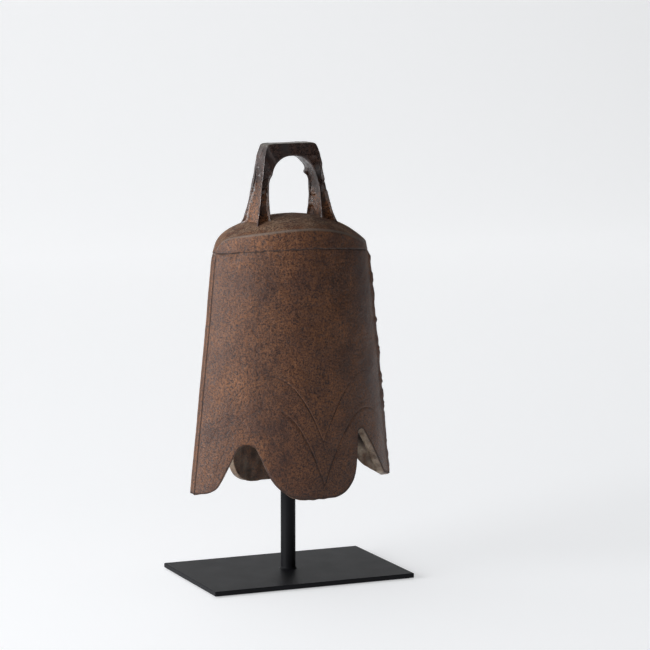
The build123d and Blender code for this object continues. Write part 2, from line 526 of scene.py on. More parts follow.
    def dome(self, x: np.ndarray, y: np.ndarray, inset: float = 0.0) -> np.ndarray:
        """Level of the crown over a place, rounded off at its two ends.

        Along the width the middle is a circle that leans a little. From it each
        section across the depth is a parabola: on the front it ends on the crease,
        which is a parabola in x of its own, and on the back it ends as a ball would.

        Args:
            x: Place along the bell's width.
            y: Place along its depth.
            inset: How far the surface lies inside the crown's outside.

        Returns:
            Levels.
        """
        radius = self.crown_radius - inset
        middle = self.crown_top - inset - radius + np.sqrt(radius ** 2 - x ** 2)
        edge = self.half_width(np.float64(self.top_level)) - inset
        middle = middle - np.where(x < 0, self.left_lean, self.right_lean) * x * (x / edge) ** 2
        off = x - self.crease_middle
        bend = np.where(off < 0, self.crease_left_bend, self.crease_right_bend)
        crease = self.crease_top - inset - bend * off ** 2
        depth = self.half_depth(np.float64(self.dome_depth_level)) - inset
        narrowed = depth * (1 - (x / (edge + self.dome_overhang)) ** 2)
        reach = np.maximum(narrowed, self.dome_least_reach)
        ball = middle - y ** 2 / (2 * np.sqrt(radius ** 2 - x ** 2))
        front = middle + (crease - middle) * np.minimum((y / reach) ** 2, 1.3)
        end = np.where(x < 0, self.left_end_round, self.right_end_round)
        into = np.clip(np.abs(x) - (edge - end), 0, end)
        corner = end - np.sqrt(end ** 2 - into ** 2)
        corner = corner * (1 - 0.65 * np.minimum((y / reach) ** 2, 1) * (y < 0))
        return np.where(y < 0, front, ball) - corner

    def crease(self, columns: Columns, proud: float, side_inset: float = 0.0,
               face_inset: float = 0.0, flat: float | None = None) -> np.ndarray:
        """Places where the wall meets the crown, found by repeated substitution.

        Args:
            columns: The grid's columns.
            proud: How far the section stands outside the wall.
            side_inset: How far the seams lie inside the outer wall.
            face_inset: How far the faces lie inside the outer wall.
            flat: Width of the strip, or None for the outer one.

        Returns:
            Places, one for each column.
        """
        level = np.full(columns.turn.shape, self.top_level)
        for _ in range(SUBSTITUTIONS):
            ring = self.ring(columns, level, side_inset - proud, face_inset - proud, flat)
            level = self.dome(ring[..., 0], ring[..., 1], face_inset)
        return ring

    def mould_line(self, columns: Columns) -> np.ndarray:
        """Level of the line left where the mould's crown part met its wall.

        It is a parabola in x, and it wanders by a random field that differs between the faces.

        Args:
            columns: The grid's columns.

        Returns:
            One level for each column.
        """
        level = np.full(columns.turn.shape, self.mould_middle)
        for _ in range(SUBSTITUTIONS // 2):
            x = self.ring(columns, level)[..., 0]
            away = (x - self.mould_centre) / self.mould_span
            level = self.mould_middle - self.mould_drop * away ** 2
        faces_apart = 0.05
        wander = np.stack([x, columns.face * faces_apart, 0 * x], axis=-1)
        return level + random_relief(wander, self.mould_wander)

    @staticmethod
    def band_height(line: np.ndarray, x: np.ndarray, half: float) -> np.ndarray:
        """Upright half height of a band that is 2 x half wide across its line.

        It is half times the root of 1 plus the square of the line's slope, which is limited.

        Args:
            line: The line's level at each column.
            x: The columns' places along the width.
            half: Half the band's width across the line.

        Returns:
            Half heights.
        """
        steepest = 4.0
        slope = np.gradient(line) / np.maximum(np.abs(np.gradient(x)), 1e-4)
        return half * np.sqrt(1 + np.minimum(slope ** 2, steepest ** 2))

    def outer_levels(self, columns: Columns) -> tuple[np.ndarray, dict[str, np.ndarray]]:
        """Levels of the outer wall's rows, which follow the rim and the drawn lines.

        Args:
            columns: The grid's columns.

        Returns:
            Levels of rows x columns, and row weights of the grooves and mould line.
        """
        rim = self.on_line(columns, self.front_rim, self.back_rim)
        inner = self.on_line(columns, self.inner_petal, self.inner_petal)
        outer = self.on_line(columns, self.outer_petal, self.outer_petal)
        fade = {"inner": smooth_step(inner - rim, 0.006, 0.014),
                "outer": smooth_step(outer - rim, 0.010, 0.020)}
        inner = np.maximum(inner, rim + 0.006)
        outer = np.maximum(outer, inner + 0.008)
        mould = self.mould_line(columns)
        crease = self.crease(columns, self.mould_proud)[..., 2] - self.crease_round
        x = self.ring(columns, rim)[..., 0]
        rim_band = self.band_height(rim, x, self.cut_round)
        inner_band = self.band_height(inner, x, self.groove_half_width)
        outer_band = self.band_height(outer, x, self.groove_half_width)
        mould_band = np.full_like(mould, self.mould_half_band)
        runs = [
            (rim + rim_band, inner - inner_band, 13, None),
            (inner - inner_band, inner + inner_band, 6, "inner"),
            (inner + inner_band, outer - outer_band, 24, None),
            (outer - outer_band, outer + outer_band, 6, "outer"),
            (outer + outer_band, mould - mould_band, 84, None),
            (mould - mould_band, mould + mould_band, 8, "mould"),
            (mould + mould_band, crease, 8, "band")]
        levels, groove, mould_rows = [], [], []
        none = np.zeros_like(rim)
        for low, high, count, kind in runs:
            for share in np.arange(count) / count:
                levels.append(low + (high - low) * share)
                groove.append(fade.get(kind, none) * (1 - (2 * share - 1) ** 2))
                mould_rows.append(share if kind == "mould" else float(kind == "band"))
        levels.append(crease)
        groove.append(none)
        mould_rows.append(1.0)
        rows = {"groove": np.array(groove), "mould": np.array(mould_rows)[:, None]}
        return np.array(levels), rows

    def fin_reach(self, smooth: np.ndarray, levels: np.ndarray) -> np.ndarray:
        """How far the casting flash of the right seam stands out to the side.

        Its reach grows with the level, falls where a random field that depends on the level
        alone is far from 0, which notches it, and ends below the mould line.

        Args:
            smooth: Places on the smooth wall.
            levels: Their levels.

        Returns:
            Distances along x.
        """
        near_right = smooth_step(smooth[..., 0] / self.half_width(levels), *self.fin_share)
        field_height = random_relief(smooth * np.array([0.0, 0.0, 1.0]), *self.notch_grain)
        notch = np.clip(1.5 * np.abs(field_height) - 0.15, 0, 1)
        growth = 1 + self.fin_growth * smooth_step(levels, *self.fin_growth_levels)
        reach = self.right_fin * growth * (1 - 0.42 * notch)
        below_mould = smooth_step(self.mould_middle - self.fin_end - levels, 0, 0.012)
        return reach * near_right * below_mould

    def groove_share(self, smooth: np.ndarray, columns: Columns, groove: np.ndarray) -> np.ndarray:
        """How deep the petal lines are cut, from 0 to about 1.

        They are pressed deepest in the middle, unevenly, and fade out beside the seams.

        Args:
            smooth: Places on the smooth wall.
            columns: The grid's columns.
            groove: The row weights of the lines.

        Returns:
            Shares of the full depth.
        """
        press = 0.22 + 0.78 * bump(smooth[..., 0] - self.inner_petal.centre, 0.036)
        press = press * (0.75 + 0.45 * lattice_noise(smooth, 0.014, 5))
        return groove * press * smooth_step(columns.to_seam, 0.006, 0.016)

    def lump_height(self, x: np.ndarray, z: np.ndarray, columns: Columns) -> np.ndarray:
        """Sum of the lumps on the front: bell curves of the distance to each one's middle."""
        total = np.zeros_like(x)
        for lump in self.lumps:
            distance = np.hypot(x - lump.x, z - lump.z)
            total += lump.height * bump(distance, lump.width) * (columns.face < 0)
        return total

    def strip_height(self, smooth: np.ndarray, columns: Columns) -> np.ndarray:
        """Height of a seam strip's rounded and broken flash, lower on the left seam.

        Across the strip it follows a root curve, and along it a random field breaks it.

        Args:
            smooth: Places on the smooth wall.
            columns: The grid's columns.

        Returns:
            Heights, 0 off the strips.
        """
        rounded = np.where(columns.strip != 0, np.sqrt(1 - columns.across ** 2 * 0.9), 0.0)
        flash = random_relief(smooth * np.array([1, 0.3, 1]), *self.flash_grain)
        breaks = np.clip(0.0016 * np.abs(flash) - 0.0003, 0, 0.0009)
        side = np.where(columns.strip > 0, 1.0, self.left_flash_share)
        return rounded * (self.flash_height - breaks) * side

    def outside(self, columns: Columns) -> Surface:
        """The outer wall from the rim to the crease, with its grooves and seams.

        Each place is moved along the surface's normal by the sum of the grooves,
        the step above the mould line, the seam fins, the lumps and casting noise.

        Args:
            columns: The grid's columns.

        Returns:
            The wall's surface and tones.
        """
        levels, rows = self.outer_levels(columns)
        smooth = self.ring(columns, levels)
        smooth[..., 0] += self.fin_reach(smooth, levels)
        normal = outward(smooth)
        x, z = smooth[..., 0], smooth[..., 2]
        on_strip = columns.strip != 0
        groove = self.groove_share(smooth, columns, rows["groove"])
        share = rows["mould"]
        ragged = (0.6 + 0.4 * lattice_noise(smooth, 0.0035, 12)) * (share > 0) * (share < 1)
        lip = bump(share - 0.5, 0.22) * ragged
        crevice = bump(share - 0.45, 0.24) * ragged
        seam_gap = bump(columns.to_seam - self.seam_gap_place, self.seam_gap_width) * (~on_strip)
        below_crown = smooth_step(self.mould_middle - 0.006 - z, 0.0, 0.006)
        step = self.mould_proud * smooth_step(share, 0.25, 0.80) + self.mould_lip * lip
        sunk = (self.groove_depth * groove + self.crevice_depth * crevice
                + self.seam_gap_depth * seam_gap * below_crown)
        strip = self.strip_height(smooth, columns) * below_crown
        cast = random_relief(smooth, *self.wall_grain) + self.lump_height(x, z, columns)
        height = step + cast + strip - sunk
        points = smooth + normal * height[..., None]
        # Painted shade: the petal grooves, the gaps beside the seam strips and the crevice under
        # the mould line are darkened in the colour. The strips' middles and the wall just above the
        # rim are darker too.
        shade_and_grime = (groove + 0.9 * seam_gap * below_crown + 1.5 * crevice
                + 0.65 * on_strip * (1 - np.abs(columns.across))
                + 0.8 * smooth_step(levels[0] - levels, -0.0026, -0.0004))
        # Paler on the mould line's lip, as wear and a painted highlight.
        return Surface(points, {Tone.DARK: np.clip(shade_and_grime, 0, 1),
                                Tone.RUSTY: np.where(on_strip, 0.45, 0.0) * below_crown,
                                Tone.WEAR_AND_HIGHLIGHT: 0.20 * lip})

    def crown(self, columns: Columns, wall_top: np.ndarray) -> Surface:
        """The rounded crease and the domed crown, as rings that shrink to the top.

        The crease is a quadratic curve from the wall over the corner to the dome.
        Beyond it each ring is the crease's ring scaled towards the axis.

        Args:
            columns: The grid's columns.
            wall_top: The wall's last row, which the crown continues.

        Returns:
            The crown's surface, without the wall's last row.
        """
        corner = self.crease(columns, self.mould_proud)
        inset = 1 - self.crease_inset / np.linalg.norm(corner[:, :2], axis=-1, keepdims=True)
        start = corner[:, :2] * inset
        start = np.column_stack([start, self.dome(start[:, 0], start[:, 1])])
        rounds = np.linspace(0, 1, self.crease_count)[1:, None, None]
        bend = ((1 - rounds) ** 2 * wall_top + 2 * rounds * (1 - rounds) * corner
                + rounds ** 2 * start)
        shrink = np.linspace(1, 0.012, self.crown_count)[1:, None]
        x, y = start[:, 0] * shrink, start[:, 1] * shrink
        dome = np.stack([x, y, self.dome(x, y)], axis=-1)
        points = np.concatenate([bend, dome])
        points[len(bend):, :, 2] += random_relief(dome, *self.crown_grain)
        # Paler along the rounded crease: a painted highlight, and wear.
        wear_and_highlight = np.zeros(points.shape[:2])
        wear_and_highlight[:len(bend)] = np.sin(np.pi * rounds[..., 0])
        return Surface(points, {Tone.WEAR_AND_HIGHLIGHT: wear_and_highlight})

    def inside(self, columns: Columns) -> Surface:
        """The inner wall and the underside of the crown, with its flat seat.

        The wall's rows rise evenly from the cut to the inner crease, and the underside's
        rings are that crease scaled towards the axis. A random field swells the wall.

        Args:
            columns: The grid's columns.

        Returns:
            The inner surface from the rim up.
        """
        rim = self.on_line(columns, self.front_rim, self.back_rim) + 1.6 * self.cut_round
        rim = rim + self.cut_taper(columns)
        inset = {"side_inset": self.seam_wall, "face_inset": self.wall, "flat": self.inner_flat}
        corner = self.crease(columns, 0.0, **inset)
        share = np.linspace(0, 1, self.inner_count)[:, None]
        levels = rim + (corner[:, 2] - rim) * share
        wall = self.ring(columns, levels, **inset)
        shrink = np.linspace(1, 0.02, self.under_count)[1:, None]
        x, y = corner[:, 0] * shrink, corner[:, 1] * shrink
        under = self.dome(x, y, self.crown_wall)
        seat_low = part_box("head_pad")[1].z
        on_seat = np.hypot(x + self.shift, y) < self.seat_radius
        dome = np.stack([x, y, np.where(on_seat, seat_low, under)], axis=-1)
        points = np.concatenate([wall, dome])
        swell = 1 + random_relief(points, *self.inner_grain) / 0.06
        points[:len(wall), :, :2] *= swell[:len(wall), :, None]
        mottle = lattice_noise(points, 0.012, 33)
        fine = lattice_noise(points, 0.0055, 34)
        # Painted shadow on the upper part of the back wall's right corner, with paler bare iron
        # below it. The dark noise adds dark marks, and these also darken the inside as painted
        # shade.
        back_right_corner = smooth_step(points[..., 0], 0.060, 0.072) * (points[..., 1] > 0)
        low = smooth_step(-points[..., 2] + 0.004 * mottle, -0.138, -0.128)
        bare = 0.14 + 0.14 * mottle + 0.20 * fine + back_right_corner * low * (0.45 + 0.45 * fine)
        shade_and_grime = back_right_corner * (1 - low) + 0.6 * smooth_step(lattice_noise(points, 0.008, 35), 0.0, 0.5)
        return Surface(points, {Tone.DARK: np.clip(shade_and_grime, 0, 1), Tone.BARE: np.clip(bare, 0, 1)})

    def cut_taper(self, columns: Columns) -> np.ndarray:
        """How far the cut slopes up inwards: most left of the front's middle."""
        share = smooth_step(-columns.turn * (columns.face < 0), 0.15, 0.35)
        beside_seam = smooth_step(columns.to_seam, 0, 0.01)
        return self.cut_slope * share * (columns.strip == 0) * beside_seam

    def rim_face(self, columns: Columns) -> Surface:
        """The cut face between the inner and outer walls, whose first rows close its edges.

        Its rows lie at set shares of the way from the outer rim to the inner one.

        Args:
            columns: The grid's columns.

        Returns:
            Rows from the inner to the outer edge.
        """
        low = self.ring(columns, self.on_line(columns, self.front_rim, self.back_rim))
        far_level = low[..., 2] + self.cut_taper(columns)
        far = self.ring(columns, far_level, self.seam_wall, self.wall, self.inner_flat)
        shares = np.array([0.93, 0.65, 0.35, 0.10])[:, None, None]
        points = low + (far - low) * shares
        points[..., 2] += 0.0007 * lattice_noise(points, 0.006, 41)
        bare = 0.62 + 0.38 * lattice_noise(points, 0.007, 42)
        bare[-1] = 0.5
        return Surface(points, {Tone.BARE: bare})

    def placed(self, points: np.ndarray) -> np.ndarray:
        """Moves points from the bell's own middle plane to its place on the stand."""
        angle = radians(self.turn_degrees)
        x, y, z = points[..., 0] + self.shift, points[..., 1], points[..., 2]
        turned = (x * np.cos(angle) - y * np.sin(angle), x * np.sin(angle) + y * np.cos(angle), z)
        return np.stack(turned, axis=-1)

    def build(self) -> bpy.types.Object:
        """Joins the inside, the rim's cut face, the outside and the crown in one shell.

        The inside's rows are taken from the top down, so that all rows follow one another.

        Returns:
            The bell casting's object.
        """
        columns = self.columns()
        wall = self.outside(columns)
        crown = self.crown(columns, wall.points[-1])
        inside = self.inside(columns)
        rim = self.rim_face(columns)
        order = [(inside, -1), (rim, 1), (wall, 1), (crown, 1)]
        grid = np.concatenate([part.points[::step] for part, step in order])
        tones = {}
        for tone in Tone:
            mask = np.concatenate([part.tone(tone)[::step] for part, step in order])
            tones[tone] = np.concatenate([mask.ravel(), mask[[0, -1], 0]])
        points, quads, triangles = closed_tube(Surface(grid))
        piece = build_object("bell_shell", self.placed(points), quads, triangles, tones)
        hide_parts("bell_casting")
        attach(piece, "bell")
        return piece


# ---------------------------------------------------------------------------------
# Carrying loop
# ---------------------------------------------------------------------------------
@dataclass(frozen=True)
class Knot:
    """A bead of iron on the loop: its side, -1 left or 1 right, and where it sits."""

    side: int
    outer: bool
    z: float
    along: float
    height: float


@dataclass
class CarryingLoop:
    """The rough forged loop: a band from foot to foot round a tall arched eye."""

    bell: BellCasting
    top: float = 0.4636
    waist: float = 0.400
    top_half_width: float = 0.0298
    left_slope: float = 0.172
    right_slope: float = 0.205
    offset: float = -0.0028
    foot: float = 0.366
    foot_flare: float = 0.0085
    flare_height: float = 0.009
    flare_level: float = 0.374
    depth_flare: float = 0.004
    eye_flare: float = 0.002
    eye_half_width: float = 0.0300
    eye_offset: float = 0.0010
    eye_top: float = 0.450
    top_half_depth: float = 0.0095
    foot_half_depth: float = 0.0205
    eye_power: float = 2.4
    corner_power: float = 22.0
    arch_length: float = 0.115
    ring_count: int = 260
    side_samples: int = 22
    hollow: float = 0.0034
    ridge: float = 0.0016
    hollow_levels: tuple[float, float] = (0.425, 0.452)
    ridge_levels: tuple[float, float] = (0.430, 0.452)
    rusty_levels: tuple[float, float] = (0.390, 0.425)
    knob_height: float = 0.0040
    knot_width: float = 0.0022
    knot_reach: float = 0.014
    band_grain: tuple[Grain, ...] = (
        Grain(0.00090, 0.0110, 51), Grain(0.00040, 0.0055, 52), Grain(0.00012, 0.0030, 53))
    knots: tuple[Knot, ...] = (
        Knot(-1, True, 0.4300, 0.2, 0.0026), Knot(-1, True, 0.4330, -0.5, 0.0018),
        Knot(1, True, 0.4234, 0.5, 0.0018), Knot(1, True, 0.4094, 0.3, 0.0020),
        Knot(1, False, 0.4083, -0.6, 0.0018), Knot(-1, True, 0.4180, -0.7, 0.0016),
        Knot(1, True, 0.4400, -0.4, 0.0015), Knot(-1, False, 0.4150, 0.4, 0.0014))

    def knot_height(self, xz: np.ndarray, side: np.ndarray, along: np.ndarray) -> np.ndarray:
        """Sum of the knots: each is a bell curve in height and along its face."""
        total = np.zeros(xz.shape[:2])
        for knot in self.knots:
            face = (side == (0 if knot.outer else 2)) * (np.sign(xz[..., 0]) == knot.side)
            reach = (xz[..., 1] - knot.z) ** 2 + (self.knot_reach * (along - knot.along)) ** 2
            total += knot.height * face * np.exp(-reach / self.knot_width ** 2)
        return total

    def half_depth(self, z: np.ndarray) -> np.ndarray:
        """Half the band's depth: a power of the way down, and a flare that decays upwards."""
        share = (self.top - z) / (self.top - self.foot)
        flare = self.depth_flare * np.exp(-np.maximum(z - self.flare_level, 0) / self.flare_height)
        growth = (self.foot_half_depth - self.top_half_depth) * share ** 1.25
        return self.top_half_depth + growth + flare

    def paths(self, count: int) -> tuple[np.ndarray, np.ndarray]:
        """The eye's edge and the band's outer edge at matching places.

        Below the waist both run level with each other down the legs. Above it rays
        from the waist's middle meet a half ellipse inside, with a power a little over
        2, and outside a top line and two sloping sides, which a sum of high powers
        rounds into one another.

        Args:
            count: Places along the band.

        Returns:
            Inner and outer places as arrays of x and z.
        """
        leg = self.waist - self.foot
        half_arch = self.arch_length / 2
        length = np.linspace(-leg - half_arch, leg + half_arch, count)
        angle = np.clip(length / half_arch, -1, 1) * np.pi / 2
        side = np.sign(length)
        drop = np.maximum(np.abs(length) - half_arch, 0)
        sine, cosine = np.sin(angle), np.cos(angle)
        rise = self.eye_top - self.waist
        eye = ((np.abs(sine) / self.eye_half_width) ** self.eye_power
               + (cosine / rise) ** self.eye_power) ** (-1 / self.eye_power)
        height = self.top - self.waist
        slope = np.where(side < 0, self.left_slope, self.right_slope)
        waist_width = self.top_half_width + slope * height
        to_top = height / np.maximum(cosine, 1e-6)
        to_side = waist_width / (np.abs(sine) + slope * cosine)
        power = self.corner_power
        ratio = np.minimum(to_side / to_top, 1e3)
        outer = to_side / (1 + ratio ** power) ** (1 / power)
        foot_share = np.exp(-(leg - drop) / self.flare_height) * (drop > 0)
        inner_leg = self.eye_half_width - self.eye_flare * foot_share
        outer_leg = waist_width + slope * drop + self.foot_flare * foot_share
        inner_x = np.where(drop > 0, side * inner_leg, eye * sine) + self.eye_offset
        outer_x = np.where(drop > 0, side * outer_leg, outer * sine)
        inner_z = np.where(drop > 0, self.waist - drop, self.waist + eye * cosine)
        outer_z = np.where(drop > 0, self.waist - drop, self.waist + outer * cosine)
        return np.column_stack([inner_x, inner_z]), np.column_stack([outer_x, outer_z])

    def surface(self) -> Surface:
        """The band: a squarish ring between the two paths, hollowed on every side.

        Each ring goes round a square whose corners are pulled in a little. A side's
        place is scaled to the band's width and depth there, and its middle is sunk
        by an even power of the place along it. Two bell curves near a side's ends
        raise the ridges, and random fields roughen all but the flat top.

        Returns:
            The band's surface and tones.
        """
        inner, outer = self.paths(self.ring_count)
        run = np.linspace(-1, 1, self.side_samples, endpoint=False)
        side = np.repeat(np.arange(4), self.side_samples)
        along = np.tile(run, 4)
        across = np.choose(side, [1 + 0 * along, -along, -1 + 0 * along, along])
        depth = np.choose(side, [along, 1 + 0 * along, -along, -1 + 0 * along])
        rounding = 1 - 0.045 * np.abs(along) ** 16
        centre = outer - inner
        width = np.linalg.norm(centre, axis=-1, keepdims=True)
        direction = centre / width
        above = smooth_step(outer[:, 1], self.top - 0.004, self.top - 0.001)[:, None]
        below_top = 1 - smooth_step(outer[:, 1:], *self.hollow_levels)
        sunk = self.hollow * (1 - along ** 6) * (1 - 0.85 * above) * below_top
        sunk = sunk + 0.0005 * (1 - along ** 6) * (1 - above)
        share = (across * rounding + 1) / 2
        place = share[None, :] * width - np.where((side == 0) | (side == 2), across, 0) * sunk
        xz = inner[:, None] + direction[:, None] * place[..., None]
        y = self.half_depth(xz[..., 1]) * depth * rounding
        y = y - np.where((side == 1) | (side == 3), depth, 0) * sunk * 0.8
        points = np.stack([xz[..., 0] + self.offset, y, xz[..., 1]], axis=-1)
        normal = -outward(points)
        rough = random_relief(points, *self.band_grain)
        knobs = np.maximum(lattice_noise(points, 0.0060, 54) - 0.42, 0) * self.knob_height
        edge = np.abs(along) ** 8 * np.ones(len(inner))[:, None]
        top_face = above * (side == 0)
        ragged = 0.75 + 0.5 * lattice_noise(points, 0.0090, 56)
        lower = 1 - smooth_step(outer[:, 1:], *self.ridge_levels)
        ridges = self.ridge * bump(np.abs(along) - 0.95, 0.09) * ragged * (0.15 + 0.85 * lower)
        knobs = knobs + self.knot_height(xz, side, along)
        points = points + normal * ((rough + knobs + ridges) * (1 - 0.8 * above))[..., None]
        # Paler along the band's edges and ridges: wear and a painted highlight.
        wear_and_highlight = edge * (0.7 + 0.5 * lattice_noise(points, 0.008, 55))
        ragged_level = points[..., 2] - 0.012 * lattice_noise(points, 0.012, 57)
        rusty = (1 - smooth_step(ragged_level, *self.rusty_levels)) * (1 - edge)
        # Darker where the random relief dips.
        return Surface(points, {Tone.WEAR_AND_HIGHLIGHT: np.clip(wear_and_highlight, 0, 1), Tone.BARE: top_face,
                                Tone.RUSTY: rusty, Tone.DARK: np.clip(-rough / 0.0014, 0, 1)})

    def build(self) -> bpy.types.Object:
        """Makes the loop's object, with its faces turned outwards, on the bell's body."""
        band = self.surface()
        points, quads, triangles = closed_tube(band)
        tones = {tone: np.append(mask, [0, 0]) for tone, mask in band.tones.items()}
        piece = build_object("carrying_loop", self.bell.placed(points), quads[:, ::-1],
                             triangles[:, ::-1], tones)
        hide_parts("suspension_loop")
        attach(piece, "bell")
        return piece


def outward_volume(mesh: bpy.types.Mesh) -> float:
    """Signed volume of a closed mesh, positive where its faces point outwards."""
    mesh.calc_loop_triangles()
    places = np.empty(len(mesh.vertices) * 3, dtype=np.float32)
    mesh.vertices.foreach_get("co", places)
    corners = np.empty(len(mesh.loop_triangles) * 3, dtype=np.int32)
    mesh.loop_triangles.foreach_get("vertices", corners)
    first, second, third = places.reshape(-1, 3)[corners.reshape(-1, 3).T].astype(float)
    return float((first * np.cross(second, third)).sum() / 6)


# ---------------------------------------------------------------------------------
# Finishes
# ---------------------------------------------------------------------------------
class Nodes:
    """A shorthand for building one shader tree."""

    def __init__(self, tree: bpy.types.NodeTree, keep: bool = False) -> None:
        """Takes a tree, and empties it unless keep is true."""
        self.tree = tree
        if not keep:
            tree.nodes.clear()

    def add(self, kind: str, settings: dict[str, object] | None = None,
            **inputs: object) -> bpy.types.Node:
        """Adds a node, sets its properties and fills or links its inputs.

        Args:
            kind: The node's type name.
            settings: Values of its own properties.
            inputs: Values or sockets by input name, with _ for a space.

        Returns:
            The node.
        """
        node = self.tree.nodes.new(kind)
        for name, value in (settings or {}).items():
            setattr(node, name, value)
        for name, value in inputs.items():
            self.put(node.inputs[name.replace("_", " ")], value)
        return node

    def put(self, socket: bpy.types.NodeSocket, value: object) -> None:
        """Links a socket to an input, or sets its value."""
        if isinstance(value, bpy.types.NodeSocket):
            self.tree.links.new(value, socket)
        else:
            socket.default_value = value

    def math(self, operation: str, first: object, second: object = 0.0,
             clamp: bool = False) -> bpy.types.NodeSocket:
        """A Math node's result."""
        node = self.add("ShaderNodeMath", {"operation": operation, "use_clamp": clamp})
        self.put(node.inputs[0], first)
        self.put(node.inputs[1], second)
        return node.outputs[0]

    def times(self, first: object, second: object) -> bpy.types.NodeSocket:
        """The product of two values."""
        return self.math("MULTIPLY", first, second)

    def plus(self, first: object, second: object, clamp: bool = False) -> bpy.types.NodeSocket:
        """The sum of two values."""
        return self.math("ADD", first, second, clamp)

    def mix(self, share: object, first: object, second: object) -> bpy.types.NodeSocket:
        """A colour between two colours."""
        node = self.add("ShaderNodeMix", {"data_type": "RGBA"})
        self.put(node.inputs[0], share)
        self.put(node.inputs[6], (*first, 1.0) if isinstance(first, tuple) else first)
        self.put(node.inputs[7], (*second, 1.0) if isinstance(second, tuple) else second)
        return node.outputs[2]

    def noise(self, place: object, scale: float, detail: float = 3.0,
              roughness: float = 0.55) -> bpy.types.NodeSocket:
        """A Noise Texture's value, 0 to 1."""
        node = self.add("ShaderNodeTexNoise", Vector=place, Scale=scale, Detail=detail,
                        Roughness=roughness)
        return node.outputs[0]

    def ramp(self, value: object, low: float, high: float) -> bpy.types.NodeSocket:
        """0 at low and below, 1 at high and above, straight between."""
        node = self.add("ShaderNodeMapRange", {"clamp": True})
        self.put(node.inputs[0], value)
        self.put(node.inputs[1], low)
        self.put(node.inputs[2], high)
        return node.outputs[0]

    def along(self, place: object, direction: Place) -> bpy.types.NodeSocket:
        """How far a place lies along a direction."""
        node = self.add("ShaderNodeVectorMath", {"operation": "DOT_PRODUCT"})
        self.put(node.inputs[0], place)
        node.inputs[1].default_value = direction
        return node.outputs["Value"]

    def tone(self, tone: Tone) -> bpy.types.NodeSocket:
        """A surface's own mask."""
        return self.add("ShaderNodeAttribute", {"attribute_name": tone.value}).outputs["Fac"]

    def place(self) -> bpy.types.NodeSocket:
        """Object coordinates."""
        return self.add("ShaderNodeTexCoord").outputs["Object"]


def grain_group() -> bpy.types.ShaderNodeTree:
    """The fine speckle of old iron, shared by the bell and the loop.

    Fractal noise makes the speckle, large noise the patches, middling noise the
    blotches, noise drawn out along Z the streaks, and small cells the pits. Height is
    the sum of speckle and blisters, less the pits.

    Returns:
        A node group with inputs Place and Size and an output for each of these.
    """
    group = bpy.data.node_groups.new("iron_grain", "ShaderNodeTree")
    group.interface.new_socket("Place", in_out="INPUT", socket_type="NodeSocketVector")
    group.interface.new_socket("Size", in_out="INPUT", socket_type="NodeSocketFloat")
    for name in ("Speckle", "Patch", "Streaks", "Pits", "Blotch", "Height"):
        group.interface.new_socket(name, in_out="OUTPUT", socket_type="NodeSocketFloat")
    nodes = Nodes(group)
    source = nodes.add("NodeGroupInput")
    scaled = nodes.add("ShaderNodeVectorMath", {"operation": "SCALE"})
    nodes.put(scaled.inputs[0], source.outputs["Place"])
    nodes.put(scaled.inputs["Scale"], source.outputs["Size"])
    place = scaled.outputs[0]
    fine = nodes.noise(place, 480.0, 5.0, 0.85)
    patch = nodes.noise(place, 26.0, 4.0, 0.6)
    runs = nodes.add("ShaderNodeVectorMath", {"operation": "MULTIPLY"})
    nodes.put(runs.inputs[0], place)
    runs.inputs[1].default_value = (1.0, 1.0, 0.16)
    streaks = nodes.noise(runs.outputs[0], 38.0, 4.0, 0.6)
    cells = nodes.add("ShaderNodeTexVoronoi", {"feature": "F1"}, Vector=place, Scale=520.0)
    pits = nodes.math("SUBTRACT", 1.0, nodes.ramp(cells.outputs["Distance"], 0.05, 0.45))
    pits = nodes.times(pits, nodes.ramp(nodes.noise(place, 240.0, 1.0, 0.5), 0.48, 0.66))
    blotch = nodes.noise(place, 75.0, 5.0, 0.75)
    blisters = nodes.noise(place, 210.0, 2.0, 0.6)
    height = nodes.plus(nodes.times(fine, 0.9), nodes.times(blisters, 0.8))
    height = nodes.math("SUBTRACT", height, nodes.times(pits, 0.3))
    nodes.add("NodeGroupOutput", Speckle=nodes.ramp(fine, 0.41, 0.60),
              Patch=nodes.ramp(patch, 0.32, 0.68), Streaks=nodes.ramp(streaks, 0.32, 0.68),
              Pits=pits, Blotch=nodes.ramp(blotch, 0.38, 0.60), Height=height)
    return group


